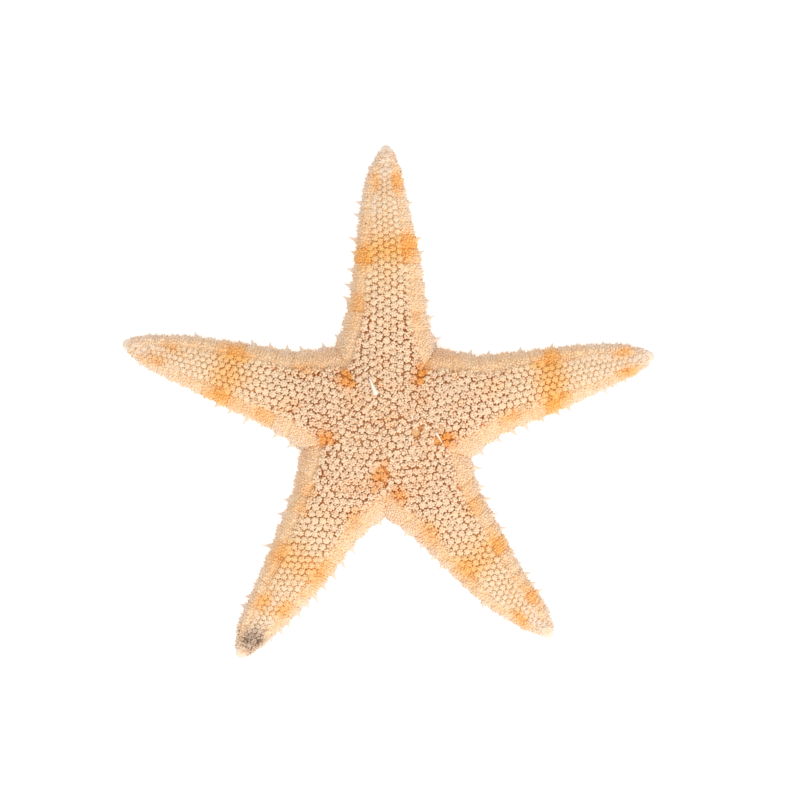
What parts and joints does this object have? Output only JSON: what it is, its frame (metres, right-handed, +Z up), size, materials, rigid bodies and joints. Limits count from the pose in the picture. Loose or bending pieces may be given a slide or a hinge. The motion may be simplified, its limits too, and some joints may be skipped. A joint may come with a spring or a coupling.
{
  "type": "dried starfish",
  "caption": "Dried sea star with tapering arms, a knobbed upper side, beaded marginal plates fringed with flat spines, and grooves that meet at a mouth below.",
  "frame": {"origin": "centre of the bottom of the bounding box, on the plane that the star rests on", "axes": "+X across the star along its widest span, +Y along the middle line of the upper arm, +Z up out of the knobbed upper side"},
  "size_m": [0.1016, 0.0982, 0.0094],
  "materials": {
    "dried_skeleton": "matt, dry, cream with orange patches"
  },
  "bodies": {
    "root": {"starfish": "dried_skeleton"}
  },
  "joints": []
}
